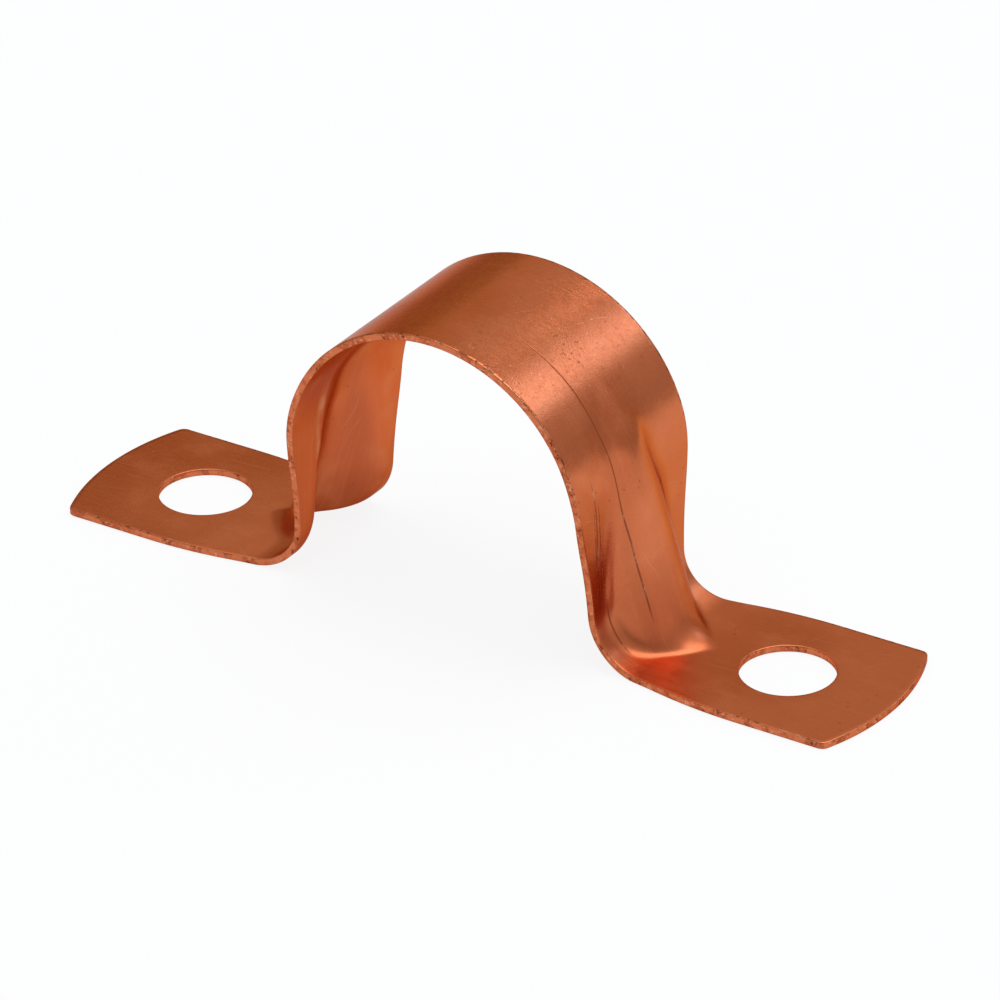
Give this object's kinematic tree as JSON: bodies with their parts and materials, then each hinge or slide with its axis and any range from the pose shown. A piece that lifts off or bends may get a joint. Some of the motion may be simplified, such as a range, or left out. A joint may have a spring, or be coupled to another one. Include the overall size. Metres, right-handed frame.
{
  "type": "pipe clip",
  "caption": "Copper saddle clip: an arched strip with a pressed rib in each leg and flat feet with screw holes, holds a tube against a wall.",
  "frame": {"origin": "centre of the clip's footprint, on the wall plane under the feet", "axes": "+X along the strip from foot to foot, +Y along the tube, +Z away from the wall"},
  "size_m": [0.062, 0.0136, 0.0215],
  "materials": {
    "copper": "bright mill finish with handling scratches"
  },
  "bodies": {
    "root": {"pipe_clip": "copper"}
  },
  "joints": []
}
